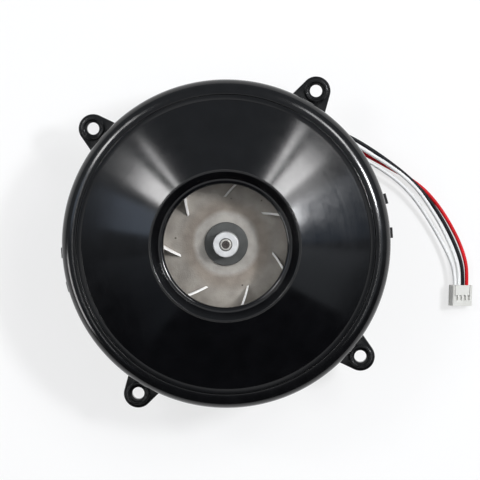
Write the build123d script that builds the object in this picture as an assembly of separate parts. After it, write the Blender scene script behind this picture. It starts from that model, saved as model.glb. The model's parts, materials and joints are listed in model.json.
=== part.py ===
from build123d import *
import math
import os

# Vacuum motor unit: a brushless motor in a sealed can drives a seven-blade fan under a conical inlet cover.
# Millimetres, +Z up along the shaft. The origin is on the shaft's axis at the rear rest face.

# Common walls and clearances
WALL = 2.3
FIT_GAP = 0.02
SEAT_GAP = 0.05
RUN_GAP = 0.3
CUT = 1.0

# Shaft and bearings
SHAFT_R = 2.5
SHAFT_CHAMFER = 0.45
SHAFT_OVER = 0.6
SHAFT_END_GAP = 0.4
BEARING_R = 8.0
BEARING_W = 5.0
RACE_T = 1.3
BALL_R = 1.6
BALL_GAP = 0.2
POCKET_GAP = 0.1
BALL_COUNT = 7
CAGE_T = 1.0
CAGE_W = 4.0
SHIELD_T = 0.25
SHIELD_GAP = 0.15
PRELOAD_H = 0.8
PRELOAD_T = 0.3
PRELOAD_IN_R = 5.4

# Rear cover
REAR_ROOM = 5.55
REAR_FLOOR_T = 2.4
REAR_EDGE_R = 2.0
REAR_RIM_W = 6.0
REAR_RECESS = 0.8
REAR_RIB_T = 1.6
REAR_RIB_RISE = 0.3
REAR_RIB_COUNT = 8
REAR_PAD_R = 12.0
REAR_FLANGE_T = 2.2
SPIGOT_H = 3.0
BOSS_T = 2.4
POST_R = 3.0
POST_INSET = 4.4
POST_COUNT = 4
POST_TURN = 67.5

# Driver board and what it carries
BOARD_GAP = 1.6
BOARD_HOLE_R = 9.6
BOARD_T = 1.6
BOARD_RISE = 0.2
TRANSISTOR = (6.1, 6.6, 2.3)
TRANSISTOR_TURNS = (82.5, 97.5, 127.5, 142.5, 217.5, 232.5)
CONTROLLER = (7.0, 7.0, 1.0)
CONTROLLER_TURN = 292.0
SHUNT = (3.2, 6.4, 0.7)
SHUNT_TURN = 270.0
CAPACITOR_R = 4.0
CAPACITOR_H = 12.0
CAPACITOR_EDGE_R = 0.6
CAPACITOR_TURN = 185.0
HALL = (1.5, 4.0, 3.0)
HALL_COUNT = 3
HALL_PLACE_R = 12.2
PIN_R = 0.55
PIN_COUNT = 3
PIN_TURN = 20.0
PIN_BELOW = 0.8

# Stator and rotor
STATOR_R = 31.5
YOKE_T = 4.0
CORE_H = 13.0
TOOTH_COUNT = 9
TOOTH_W = 4.2
TIP_T = 1.5
TIP_SPAN = 31.0
AIR_GAP = 0.7
COIL_ROOM = 1.4
COIL_T = 2.2
COIL_EDGE_R = 1.0
SLEEVE_T = 0.4
CAP_T = 0.9
INSULATOR_WALL_T = 2.6
INSULATOR_WALL_H = 2.4
INSULATOR_TIP_T = 1.6
COIL_END_GAP = 0.6
MAGNET_R = 12.4
MAGNET_T = 2.9
MAGNET_OVER = 0.5
BALANCE_T = 1.8
CIRCLIP_T = 0.7
CIRCLIP_W = 1.9
CIRCLIP_GROOVE = 0.25

# Motor bracket
BRACKET_T = 2.3
BRACKET_WEB_T = 2.4
BRACKET_ROOM = 1.0
BRACKET_SKIRT_H = 15.0
BRACKET_FLANGE_W = 10.6
BRACKET_BOSS_R = 3.2
BRACKET_BOSS_H = 3.0
BRACKET_SCREW_COUNT = 4
BRACKET_SCREW_TURN = 45.0
BEARING_LIP_T = 1.4
BEARING_LIP_W = 2.0
BOSS_OVER = 0.4

# Motor carrier, and the ribs and rim round the air outlet
JOIN_GAP = 0.05
PLATE_T = 2.2
PLATE_HOLE_R = 24.0
PLATE_EDGE_W = 0.5
TUBE_T = 2.2
TUBE_H = 13.5
RIB_T = 2.0
RIB_H = 8.2
RIB_COUNT = 8
RIB_TURN = 22.5
RIM_T = 1.8
RIM_H = 9.0
TAB_COUNT = 4
TAB_R = 3.4
TAB_OUT = 4.2
PILOT_H = 9.0
LUG_W = 4.6
LUG_H = 4.0
LUG_OUT = 1.6
LUG_RAMP_H = 1.4
LUG_DOWN = 2.0
LUG_TURNS = (-6.0, 6.0, 174.0, 186.0)

# Diffuser
DIFFUSER_BASE_T = 1.4
DIFFUSER_BASE_W = 6.4
DIFFUSER_OVER = 0.9
VANE_COUNT = 11
VANE_T = 1.4
VANE_RUN = 8.9
VANE_EDGE_GAP = 0.5
VANE_LEAN = 58.0
VANE_H = 6.8
VANE_SIT = 0.3

# Fan
FAN_GAP = 2.5
BLADE_COUNT = 7
BLADE_T = 0.9
BLADE_FOOT_R = 20.6
BLADE_TOP_R = 30.5
BLADE_INSET = 0.6
BLADE_LEAN = 37.0
BLADE_TURN = 33.1
SPACER_H = 1.0
SPACER_R = 4.2
BACKING_T = 0.8
BACKPLATE_T = 1.2
CLAMP_R = 9.55
CLAMP_T = 1.6
CLAMP_CHAMFER = 0.25
COLLAR_R = 5.6
COLLAR_H = 7.8
COLLAR_CHAMFER = 0.3
EYE_GAP = 0.9
EYE_LIP_T = 0.6
EYE_LIP_H = 1.0
SHROUD_GAP = 1.4
SHROUD_T = 0.9

# Inlet cover
THROAT_R = 26.7
THROAT_DIP = 0.4
EYE_CLEAR = 0.9
THROAT_ROUND_R = 1.5
SHELF_W = 2.2
LIP_RISE = 3.4
LIP_WALL_RUN = 3.0
CREST_W = 0.7
LIP_STEP_W = 0.35
LIP_STEP_H = 0.6
CONE_SLOPE = 22.0
CONE_EDGE_W = 0.25
BAND_STEP = 0.4
BAND_W = 2.15
BAND_T = 2.0
BAND_SEAT_W = 2.3
SKIRT_T = 1.6
SKIRT_H = 4.6
COVER_GAP = 1.04
BARB_W = 0.9
BARB_H = 1.2
BARB_COUNT = 6
BARB_SPAN = 8.0

# Housing
OUTLET_W = 19.75
HOUSING_T = 2.2
SHOULDER_R = 6.3
SHOULDER_FLAT = 0.2
SHOULDER_DROP = 0.5
SEAL_T = 1.2
LEDGE_T = 1.8
LEDGE_ROOT_W = 1.5
STEP_T = 0.6
WALL_OVER = 1.0
WALL_EDGE_R = 0.6
WINDOW_GAP = 0.2

# Mounting ears
EAR_OUT = 6.0
EAR_TURNS = (50.0, 130.0, 230.0, 310.0)
EAR_ROUND_R = 6.4
EAR_TAPER = 15.0
EAR_T = 5.0
EAR_UP = 1.0
EAR_HOLE_R = 2.7
EAR_SINK_R = 3.85
EAR_SINK_H = 1.8
EAR_COLLAR_R = 5.0
EAR_COLLAR_H = 1.2

# Screws
SCREW_R = 1.25
SCREW_CLEAR = 0.2
SCREW_HEAD_R = 2.6
SCREW_HEAD_H = 1.8
SCREW_HEAD_EDGE = 0.5
SCREW_L = 8.0
BOARD_SCREW_L = 5.0
BRACKET_SCREW_L = 6.5
DRIVE_R = 1.1
DRIVE_H = 0.9

# Leads and their grommet
LEAD_R = 0.85
LEAD_TURN = 40.0
LEAD_Z = 11.2
LEAD_PITCH = 2.6
STUB_L = 5.0
GROMMET_W = 13.0
GROMMET_H = 5.0
GROMMET_OUT = 2.6
GROMMET_IN = 1.2
GROMMET_LIP = 1.0
GROMMET_LIP_T = 1.1

# Connector
PLUG_W = 9.9
PLUG_H = 4.6
PLUG_L = 9.4
PLUG_PITCH = 2.0
PLUG_ROLL = 23.5
PLUG_HEADING = -101.0
PLUG_PLACE = (100.85, -37.6, 4.2)
PLUG_EDGE = 0.3
WINDOW_W = 1.1
WINDOW_L = 2.2
WINDOW_H = 0.9
WINDOW_BACK = 2.6
PORT_W = 1.2
PORT_L = 2.6
CONTACT_W = 0.7
KEY_W = 0.6
KEY_H = 0.5
KEY_INSET = 1.2

# Routes of the four leads between the grommet and the connector, by hand
ROUTE_BLACK = (
    (42.2, 40.5, 11.2), (49.0, 42.6, 11.0), (56.8, 40.8, 10.4), (64.2, 35.6, 9.5), (70.9, 29.8, 8.2),
    (77.3, 23.6, 6.3), (83.9, 16.6, 4.5), (89.7, 9.0, 3.4), (94.4, 0.6, 2.6), (98.3, -8.6, 2.2),
    (101.2, -18.2, 2.5), (102.7, -26.2, 3.3), (102.76, -32.37, 3.8),
)
ROUTE_WHITE_OUTER = (
    (43.8, 38.5, 11.3), (50.6, 40.2, 11.6), (58.2, 37.7, 11.5), (65.2, 32.3, 10.8), (71.4, 26.9, 9.8),
    (77.3, 21.7, 8.4), (83.4, 15.6, 7.0), (88.6, 8.5, 5.6), (92.4, 0.8, 4.5), (95.9, -7.7, 3.7),
    (98.9, -17.4, 3.5), (100.6, -25.4, 4.0), (100.93, -32.02, 4.6),
)
ROUTE_RED = (
    (45.5, 36.4, 11.1), (52.2, 37.4, 10.6), (59.9, 34.0, 9.5), (66.8, 28.7, 7.9), (73.0, 24.0, 6.0),
    (79.5, 18.9, 3.9), (86.3, 13.7, 2.1), (92.4, 7.2, 1.3), (97.3, -1.2, 1.2), (101.2, -10.6, 1.2),
    (103.9, -19.8, 1.6), (104.9, -27.2, 2.4), (104.59, -32.72, 3.0),
)
ROUTE_WHITE_INNER = (
    (47.2, 34.4, 11.2), (53.8, 34.6, 11.0), (61.2, 30.9, 10.4), (67.8, 25.6, 9.4), (73.9, 20.3, 8.1),
    (79.5, 14.8, 6.8), (84.3, 8.6, 5.6), (88.1, 1.7, 4.6), (91.6, -6.2, 3.9), (94.9, -14.8, 3.8),
    (97.7, -23.2, 4.6), (99.10, -31.67, 5.4),
)

# Heights, each from the piece below it
REAR_BEARING_Z = REAR_FLOOR_T + PRELOAD_H
REAR_BEARING_TOP = REAR_BEARING_Z + BEARING_W
BOARD_Z = REAR_BEARING_TOP + BOARD_RISE
BOARD_TOP = BOARD_Z + BOARD_T
CORE_Z = BOARD_TOP + COIL_ROOM + COIL_T + CAP_T
CORE_TOP = CORE_Z + CORE_H
CORE_MID = (CORE_Z + CORE_TOP) / 2
WEB_Z = CORE_TOP + CAP_T + COIL_T + BRACKET_ROOM
PLATE_Z = WEB_Z + BRACKET_WEB_T
PLATE_TOP = PLATE_Z + PLATE_T
FRONT_BEARING_Z = WEB_Z + BEARING_LIP_T
FRONT_BEARING_TOP = FRONT_BEARING_Z + BEARING_W
BACKING_Z = FRONT_BEARING_TOP + SPACER_H
BACKPLATE_Z = BACKING_Z + BACKING_T
FAN_Z = BACKPLATE_Z + BACKPLATE_T
COLLAR_Z = FAN_Z + CLAMP_T
COLLAR_TOP = COLLAR_Z + COLLAR_H
SHAFT_TOP = COLLAR_TOP + SHAFT_OVER
TUBE_END_Z = PLATE_Z - TUBE_H
VANE_Z = PLATE_TOP + VANE_SIT
VANE_TOP = VANE_Z + VANE_H

# Radii, outwards from the shaft to the housing's wall and back inwards from it
BORE_R = SHAFT_R + FIT_GAP
PITCH_R = (BORE_R + BEARING_R) / 2
SEAT_R = BEARING_R + FIT_GAP
CUP_IN_R = STATOR_R + SEAT_GAP
CUP_OUT_R = CUP_IN_R + BRACKET_T
FLANGE_R = CUP_OUT_R + BRACKET_FLANGE_W
BRACKET_SCREW_PLACE_R = (CUP_OUT_R + FLANGE_R) / 2
REAR_R = FLANGE_R + REAR_ROOM
REAR_IN_R = REAR_R - WALL
BOARD_R = REAR_IN_R - BOARD_GAP
POST_PLACE_R = BOARD_R - POST_INSET
TUBE_IN_R = REAR_R + SEAT_GAP
TUBE_OUT_R = TUBE_IN_R + TUBE_T
TAB_PLACE_R = TUBE_OUT_R + TAB_OUT
OUTER_R = TUBE_OUT_R + OUTLET_W
EAR_PLACE_R = OUTER_R + EAR_OUT
PART_PLACE_R = (CUP_OUT_R + REAR_IN_R) / 2
STATOR_BORE_R = MAGNET_R + AIR_GAP
THROAT_OUT_R = THROAT_R + WALL
EYE_R = THROAT_OUT_R + EYE_GAP
SHELF_R = THROAT_R + SHELF_W
CREST_IN_R = SHELF_R + LIP_WALL_RUN
CREST_OUT_R = CREST_IN_R + CREST_W
CONE_START_R = CREST_OUT_R + LIP_STEP_W
INNER_R = OUTER_R - HOUSING_T
OPEN_R = OUTER_R - SHOULDER_R - SHOULDER_FLAT
BAND_OUT_R = OPEN_R - RUN_GAP
BAND_IN_R = BAND_OUT_R - BAND_W
CONE_END_R = BAND_IN_R - CONE_EDGE_W
SKIRT_R = BAND_OUT_R - BAND_SEAT_W
SKIRT_IN_R = SKIRT_R - SKIRT_T
LEDGE_R = SKIRT_R + RUN_GAP
RIM_R = INNER_R - SEAT_GAP
RIM_IN_R = RIM_R - RIM_T
VANE_OUT_R = RIM_IN_R - VANE_EDGE_GAP
VANE_IN_R = VANE_OUT_R - VANE_RUN
FAN_R = VANE_IN_R - FAN_GAP
PLATE_R = VANE_IN_R - PLATE_EDGE_W
DIFFUSER_R = VANE_IN_R + DIFFUSER_OVER

# Heights of the cover and housing, up from the diffuser
CONE_FALL_SHARE = math.tan(math.radians(CONE_SLOPE))
CONE_WALL_H = WALL / math.cos(math.radians(CONE_SLOPE))
SKIRT_END_Z = VANE_TOP + COVER_GAP
BAND_UNDER_Z = SKIRT_END_Z + SKIRT_H
BAND_Z = BAND_UNDER_Z + BAND_T
CONE_END_Z = BAND_Z + BAND_STEP
CONE_Z = CONE_END_Z + (CONE_END_R - CONE_START_R) * CONE_FALL_SHARE
LIP_Z = CONE_Z + LIP_STEP_H
SHELF_Z = LIP_Z - LIP_RISE
SHELF_UNDER_Z = SHELF_Z - WALL
EYE_TOP = SHELF_UNDER_Z - EYE_CLEAR
SHOULDER_Z = BAND_Z - SHOULDER_DROP
LEDGE_Z = BAND_UNDER_Z - SEAL_T
LEDGE_UNDER_Z = LEDGE_Z - LEDGE_T
RIM_Z = PLATE_Z - RIM_H
WALL_Z = RIM_Z - WALL_OVER
EAR_Z = WALL_Z + EAR_UP
EAR_TOP = EAR_Z + EAR_T
LUG_TOP = PLATE_Z - LUG_DOWN
LUG_Z = LUG_TOP - LUG_H


# Plain shapes
def outline(corners, radii=None):
    """Closed flat outline through the corners, with a tangent arc at each corner that radii names."""
    radii = radii or {}
    starts, ends, edges = [], [], []
    for index, corner in enumerate(corners):
        here = Vector(*corner)
        start, end = here, here
        if index in radii:
            before = (Vector(*corners[index - 1]) - here).normalized()
            after = (Vector(*corners[(index + 1) % len(corners)]) - here).normalized()
            half = math.radians(before.get_angle(after)) / 2
            start = here + before * (radii[index] / math.tan(half))
            end = here + after * (radii[index] / math.tan(half))
            inward = (before + after).normalized() * radii[index] * (1 / math.sin(half) - 1)
            edges.append(ThreePointArc(start, here + inward, end))
        starts.append(start)
        ends.append(end)
    for index, end in enumerate(ends):
        edges.append(Line(end, starts[(index + 1) % len(starts)]))
    return make_face(edges)


def turned(corners, radii=None):
    """Solid of revolution about the shaft from its (radius, height) outline."""
    return revolve(Plane.XZ * outline(corners, radii), Axis.Z)


def disc(radius, low, high):
    """Solid disc on the shaft's axis between two heights."""
    return Pos(0, 0, (low + high) / 2) * Cylinder(radius, high - low)


def ring(inner, outer, low, high):
    """Plain ring on the shaft's axis between two heights."""
    return turned(((inner, low), (outer, low), (outer, high), (inner, high)))


def at(turn, radius=0, height=0):
    """Place turned about the shaft, at a radius and height, its X pointing outwards."""
    return Rot(0, 0, turn) * Pos(radius, 0, height)


def around(count, first=0):
    """Angles of evenly spaced copies."""
    return [first + 360 * index / count for index in range(count)]


def block(low_r, high_r, width, low, high):
    """Box on the X axis between two radii and two heights."""
    centre = Pos((low_r + high_r) / 2, 0, (low + high) / 2)
    return centre * Box(high_r - low_r, width, high - low)


def sector(inner, outer, span, low, high):
    """Piece of a ring, centred on the X axis."""
    outer_arc = CenterArc((0, 0), outer, -span / 2, span)
    inner_arc = CenterArc((0, 0), inner, -span / 2, span)
    sides = [Line(inner_arc @ end, outer_arc @ end) for end in (0, 1)]
    return Pos(0, 0, low) * extrude(make_face([outer_arc, inner_arc, *sides]), high - low)


def peg(radius, low, high):
    """Round pin standing on its own axis."""
    return Pos(0, 0, (low + high) / 2) * Cylinder(radius, high - low)


def swept_fin(inner, outer, lean, thickness, low, high):
    """Thin fin whose plan follows a backward spiral of one lean from the radial."""
    def on_spiral(radius):
        turn = -math.tan(math.radians(lean)) * math.log(radius / inner)
        return (radius * math.cos(turn), radius * math.sin(turn))
    line = ThreePointArc(on_spiral(inner), on_spiral(math.sqrt(inner * outer)), on_spiral(outer))
    return Pos(0, 0, low) * extrude(trace(line, line_width=thickness), high - low)


def screw(length, below=True):
    """Pan-head screw with a cross recess, its seat at height zero and its head below or above it."""
    head_corners = ((0, 0), (SCREW_HEAD_R, 0), (SCREW_HEAD_R, SCREW_HEAD_H), (0, SCREW_HEAD_H))
    body = turned(head_corners, {2: SCREW_HEAD_EDGE}) + peg(SCREW_R, -length, 0)
    for turn in (0, 90):
        slot = Box(DRIVE_R * 2, DRIVE_R / 2, DRIVE_H * 2)
        body -= Rot(0, 0, turn) * Pos(0, 0, SCREW_HEAD_H) * slot
    return Rot(180, 0, 0) * body if below else body


# Bearings
def bearing(low):
    """Pieces of one ball bearing, from its lower face."""
    middle, high = low + BEARING_W / 2, low + BEARING_W
    track = revolve(Plane.XZ * Pos(PITCH_R, middle) * Circle(BALL_R + BALL_GAP), Axis.Z)
    inner = ring(BORE_R, BORE_R + RACE_T, low, high) - track
    outer = ring(BEARING_R - RACE_T, BEARING_R, low, high) - track
    cage = ring(PITCH_R - CAGE_T / 2, PITCH_R + CAGE_T / 2, middle - CAGE_W / 2, middle + CAGE_W / 2)
    balls = []
    for turn in around(BALL_COUNT):
        balls.append(at(turn, PITCH_R, middle) * Sphere(BALL_R))
        pocket = Rot(0, 90, 0) * Cylinder(BALL_R + POCKET_GAP, BALL_R * 2)
        cage -= at(turn, PITCH_R, middle) * pocket
    edges = (BORE_R + RACE_T + SHIELD_GAP, BEARING_R - RACE_T)
    shields = [ring(*edges, low, low + SHIELD_T), ring(*edges, high - SHIELD_T, high)]
    return {"outer_ring": outer, "inner_ring": inner, "balls": balls, "cage": cage, "shields": shields}


# Rotor
def make_shaft():
    """Shaft with chamfered ends and a groove for the retaining ring."""
    low = REAR_FLOOR_T + SHAFT_END_GAP
    groove_z = REAR_BEARING_TOP
    neck = SHAFT_R - CIRCLIP_GROOVE
    return turned((
        (0, low), (SHAFT_R - SHAFT_CHAMFER, low), (SHAFT_R, low + SHAFT_CHAMFER), (SHAFT_R, groove_z),
        (neck, groove_z), (neck, groove_z + CIRCLIP_T), (SHAFT_R, groove_z + CIRCLIP_T),
        (SHAFT_R, SHAFT_TOP - SHAFT_CHAMFER), (SHAFT_R - SHAFT_CHAMFER, SHAFT_TOP), (0, SHAFT_TOP),
    ))


def make_balance_rings():
    """Brass ring on each end of the rotor core."""
    outer = MAGNET_R - MAGNET_T - RUN_GAP
    high = CORE_TOP + MAGNET_OVER
    low = CORE_Z - MAGNET_OVER
    return [ring(BORE_R, outer, high, high + BALANCE_T), ring(BORE_R, outer, low - BALANCE_T, low)]


def shroud_under(radius):
    """Height of the shroud's underside at a radius."""
    eye_z = EYE_TOP - EYE_LIP_H - SHROUD_T
    rim_z = cone_z(FAN_R) - CONE_WALL_H - SHROUD_GAP - SHROUD_T
    return eye_z + (rim_z - eye_z) * (radius - EYE_R) / (FAN_R - EYE_R)


def make_shroud():
    """Front plate of the fan with its rolled eye."""
    eye_out = EYE_R + EYE_LIP_T
    return turned((
        (EYE_R, EYE_TOP), (eye_out, EYE_TOP), (eye_out, shroud_under(eye_out) + SHROUD_T),
        (FAN_R, shroud_under(FAN_R) + SHROUD_T), (FAN_R, shroud_under(FAN_R)), (EYE_R, shroud_under(EYE_R)),
    ))


def make_blades():
    """Seven sheet blades between the fan's plates, with rising front edges."""
    end = FAN_R - BLADE_INSET
    field = turned((
        (BLADE_FOOT_R, FAN_Z), (end, FAN_Z), (end, shroud_under(end) - SEAT_GAP),
        (BLADE_TOP_R, shroud_under(BLADE_TOP_R) - SEAT_GAP),
    ))
    blade = swept_fin(BLADE_FOOT_R - BLADE_T, FAN_R, BLADE_LEAN, BLADE_T, FAN_Z, EYE_TOP) & field
    return [at(turn) * blade for turn in around(BLADE_COUNT, BLADE_TURN)]


def make_clamp_washer():
    """Dark washer that clamps the fan."""
    top, edge = FAN_Z + CLAMP_T, CLAMP_R - CLAMP_CHAMFER
    return turned((
        (BORE_R, FAN_Z), (CLAMP_R, FAN_Z), (CLAMP_R, top - CLAMP_CHAMFER), (edge, top), (BORE_R, top),
    ))


def make_clamp_collar():
    """Aluminium collar pressed on the shaft above the washer."""
    edge = COLLAR_R - COLLAR_CHAMFER
    return turned((
        (BORE_R, COLLAR_Z), (COLLAR_R, COLLAR_Z), (COLLAR_R, COLLAR_TOP - COLLAR_CHAMFER),
        (edge, COLLAR_TOP), (BORE_R, COLLAR_TOP),
    ))


# Stator
def make_stator_core():
    """Laminated core with its yoke, teeth and pole tips."""
    core = ring(STATOR_R - YOKE_T, STATOR_R, CORE_Z, CORE_TOP)
    for turn in around(TOOTH_COUNT):
        core += at(turn) * block(STATOR_BORE_R + TIP_T / 2, STATOR_R - YOKE_T / 2, TOOTH_W, CORE_Z, CORE_TOP)
        core += at(turn) * sector(STATOR_BORE_R, STATOR_BORE_R + TIP_T, TIP_SPAN, CORE_Z, CORE_TOP)
    return core


def make_upper_insulator():
    """Plastic end frame on the core, with a cap on each tooth."""
    wall_r = STATOR_R - YOKE_T + SEAT_GAP
    tip_r = STATOR_BORE_R + SLEEVE_T
    frame = ring(wall_r, wall_r + INSULATOR_WALL_T, CORE_TOP, CORE_TOP + INSULATOR_WALL_H)
    frame += ring(tip_r, tip_r + INSULATOR_TIP_T, CORE_TOP, CORE_TOP + INSULATOR_WALL_H)
    for turn in around(TOOTH_COUNT):
        cap_w = TOOTH_W + SLEEVE_T * 2
        cap = block(tip_r + INSULATOR_TIP_T / 2, wall_r + INSULATOR_WALL_T / 2, cap_w, CORE_TOP, CORE_TOP + CAP_T)
        frame += at(turn) * cap
    return frame


def make_coils():
    """One wound coil on each tooth."""
    low_r = STATOR_BORE_R + SLEEVE_T + INSULATOR_TIP_T + COIL_END_GAP
    high_r = STATOR_R - YOKE_T - COIL_END_GAP
    inner = Rectangle(TOOTH_W + SLEEVE_T * 2, CORE_H + CAP_T * 2)
    width, height = TOOTH_W + (SLEEVE_T + COIL_T) * 2, CORE_H + (CAP_T + COIL_T) * 2
    loop = extrude(Plane.YZ * (RectangleRounded(width, height, COIL_EDGE_R) - inner), high_r - low_r)
    return [at(turn, low_r, CORE_MID) * loop for turn in around(TOOTH_COUNT)]


def make_phase_pins():
    """Pins from the board up to the lower insulator."""
    radius = STATOR_R - YOKE_T + SEAT_GAP + INSULATOR_WALL_T / 2
    pin = peg(PIN_R, BOARD_Z - PIN_BELOW, CORE_Z - INSULATOR_WALL_H)
    return [at(turn, radius) * pin for turn in around(PIN_COUNT, PIN_TURN)]


# Motor bracket and carrier
def bracket_screw_places():
    """Places of the screws that hold the bracket to the carrier."""
    turns = around(BRACKET_SCREW_COUNT, BRACKET_SCREW_TURN)
    return [at(turn, BRACKET_SCREW_PLACE_R) for turn in turns]


def make_motor_bracket():
    """Aluminium bracket: bearing boss, web, flange and the cup round the stator."""
    boss_top = FRONT_BEARING_TOP + BOSS_OVER
    bracket = turned((
        (BEARING_R - BEARING_LIP_W, WEB_Z), (BEARING_R - BEARING_LIP_W, FRONT_BEARING_Z),
        (SEAT_R, FRONT_BEARING_Z), (SEAT_R, boss_top), (SEAT_R + BOSS_T, boss_top),
        (SEAT_R + BOSS_T, PLATE_Z), (FLANGE_R, PLATE_Z), (FLANGE_R, WEB_Z), (CUP_OUT_R, WEB_Z),
        (CUP_OUT_R, WEB_Z - BRACKET_SKIRT_H), (CUP_IN_R, WEB_Z - BRACKET_SKIRT_H), (CUP_IN_R, WEB_Z),
    ))
    for place in bracket_screw_places():
        bracket += place * peg(BRACKET_BOSS_R, WEB_Z - BRACKET_BOSS_H, PLATE_Z)
        bracket -= place * peg(SCREW_R + SEAT_GAP, PLATE_TOP - BRACKET_SCREW_L - RUN_GAP, PLATE_TOP)
    return bracket


def make_lug():
    """Snap lug on the carrier's rim, with a ramp below."""
    root, crest = RIM_R - RIM_T / 2, OUTER_R + LUG_OUT
    corners = (
        (root, LUG_Z), (OUTER_R, LUG_Z), (crest, LUG_Z + LUG_RAMP_H), (crest, LUG_TOP), (root, LUG_TOP),
    )
    return extrude(Plane.XZ * outline(corners), LUG_W / 2, both=True)


def make_motor_carrier():
    """Partition plate and the tube that the rear cover closes."""
    carrier = ring(PLATE_HOLE_R, PLATE_R, PLATE_Z, PLATE_TOP)
    carrier += ring(TUBE_IN_R, TUBE_OUT_R, TUBE_END_Z, PLATE_Z + PLATE_T / 2)
    for turn in around(TAB_COUNT):
        carrier += at(turn, TAB_PLACE_R) * peg(TAB_R, TUBE_END_Z, PLATE_Z)
        carrier += at(turn) * block(TUBE_OUT_R - TUBE_T / 2, TAB_PLACE_R, TAB_R, TUBE_END_Z, PLATE_Z)
        carrier -= at(turn, TAB_PLACE_R) * peg(SCREW_R + SEAT_GAP, TUBE_END_Z - CUT, TUBE_END_Z + PILOT_H)
    for place in bracket_screw_places():
        carrier -= place * peg(SCREW_R + SCREW_CLEAR, PLATE_Z - CUT, PLATE_TOP + CUT)
    return carrier


def make_outlet_ribs():
    """Ribs across the air outlet, between the carrier's tube and the rim."""
    rib = block(TUBE_IN_R, RIM_R, RIB_T, PLATE_Z - RIB_H, PLATE_Z - JOIN_GAP)
    rib &= disc(RIM_IN_R - JOIN_GAP, PLATE_Z - RIB_H, PLATE_Z)
    rib -= disc(TUBE_OUT_R + JOIN_GAP, PLATE_Z - RIB_H, PLATE_Z)
    return [at(turn) * rib for turn in around(RIB_COUNT, RIB_TURN)]


def make_outlet_rim():
    """Rim inside the housing's wall, with the snap lugs that hold it there."""
    rim = ring(RIM_IN_R, RIM_R, RIM_Z, PLATE_Z)
    for turn in LUG_TURNS:
        rim += at(turn) * make_lug()
    return rim


def make_diffuser():
    """Ring of curved vanes that slows the air behind the fan."""
    diffuser = ring(PLATE_R - DIFFUSER_BASE_W + PLATE_EDGE_W, DIFFUSER_R, PLATE_TOP, PLATE_TOP + DIFFUSER_BASE_T)
    vane = swept_fin(VANE_IN_R, VANE_OUT_R, -VANE_LEAN, VANE_T, VANE_Z, VANE_TOP)
    vane &= disc(VANE_OUT_R, VANE_Z, VANE_TOP)
    for turn in around(VANE_COUNT):
        diffuser += at(turn) * vane
    return diffuser


# Rear cover, board and what it carries
def post_places():
    """Places of the posts that carry the board."""
    return [at(turn, POST_PLACE_R) for turn in around(POST_COUNT, POST_TURN)]


def make_rear_cover():
    """Rear cover: cup with the rear bearing's boss, board posts, screw tabs and grommet window."""
    rim_r, boss_r = REAR_R - REAR_RIM_W, SEAT_R + BOSS_T
    flange_z = TUBE_END_Z - REAR_FLANGE_T
    cover = turned((
        (0, REAR_RECESS), (rim_r, REAR_RECESS), (rim_r, 0), (REAR_R, 0), (REAR_R, flange_z),
        (TUBE_OUT_R, flange_z), (TUBE_OUT_R, TUBE_END_Z), (REAR_R, TUBE_END_Z),
        (REAR_R, TUBE_END_Z + SPIGOT_H), (REAR_IN_R, TUBE_END_Z + SPIGOT_H), (REAR_IN_R, REAR_FLOOR_T),
        (boss_r, REAR_FLOOR_T), (boss_r, REAR_BEARING_TOP - RUN_GAP), (SEAT_R, REAR_BEARING_TOP - RUN_GAP),
        (SEAT_R, REAR_FLOOR_T), (0, REAR_FLOOR_T),
    ), {3: REAR_EDGE_R})
    cover += disc(REAR_PAD_R, REAR_RIB_RISE, REAR_RECESS)
    for turn in around(REAR_RIB_COUNT):
        rib = block(REAR_PAD_R - REAR_RIB_T, rim_r + REAR_RIB_T, REAR_RIB_T, REAR_RIB_RISE, REAR_RECESS)
        cover += at(turn) * rib
    for turn in around(TAB_COUNT):
        tab = peg(TAB_R, flange_z, TUBE_END_Z)
        cover += at(turn, TAB_PLACE_R) * tab
        cover += at(turn) * block(REAR_R - WALL / 2, TAB_PLACE_R, TAB_R * 2, flange_z, TUBE_END_Z)
        cover -= at(turn, TAB_PLACE_R) * peg(SCREW_R + SCREW_CLEAR, flange_z - CUT, TUBE_END_Z + CUT)
    for place in post_places():
        cover += place * peg(POST_R, REAR_FLOOR_T - REAR_RECESS, BOARD_Z)
        cover -= place * peg(SCREW_R + SEAT_GAP, BOARD_TOP - BOARD_SCREW_L - RUN_GAP, BOARD_TOP)
    window = block(
        REAR_IN_R - CUT, REAR_R + CUT, GROMMET_W + SEAT_GAP * 2,
        LEAD_Z - GROMMET_H / 2 - SEAT_GAP, LEAD_Z + GROMMET_H / 2 + SEAT_GAP,
    )
    return cover - at(LEAD_TURN) * window


def make_driver_board():
    """Round circuit board with its shaft, post and pin holes."""
    board = ring(BOARD_HOLE_R, BOARD_R, BOARD_Z, BOARD_TOP)
    for place in post_places():
        board -= place * peg(SCREW_R + SCREW_CLEAR, BOARD_Z - CUT, BOARD_TOP + CUT)
    pin_r = STATOR_R - YOKE_T + SEAT_GAP + INSULATOR_WALL_T / 2
    for turn in around(PIN_COUNT, PIN_TURN):
        board -= at(turn, pin_r) * peg(PIN_R + SEAT_GAP, BOARD_Z - CUT, BOARD_TOP + CUT)
    return board


def on_board(size, turn, radius):
    """Small component standing on the board: radial length, width and height."""
    length, width, height = size
    return at(turn) * block(radius - length / 2, radius + length / 2, width, BOARD_TOP, BOARD_TOP + height)


def make_capacitor():
    """Round capacitor with softened top edge."""
    top = BOARD_TOP + CAPACITOR_H
    can = turned(
        ((0, BOARD_TOP), (CAPACITOR_R, BOARD_TOP), (CAPACITOR_R, top), (0, top)), {2: CAPACITOR_EDGE_R},
    )
    return at(CAPACITOR_TURN, PART_PLACE_R) * can


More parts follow.
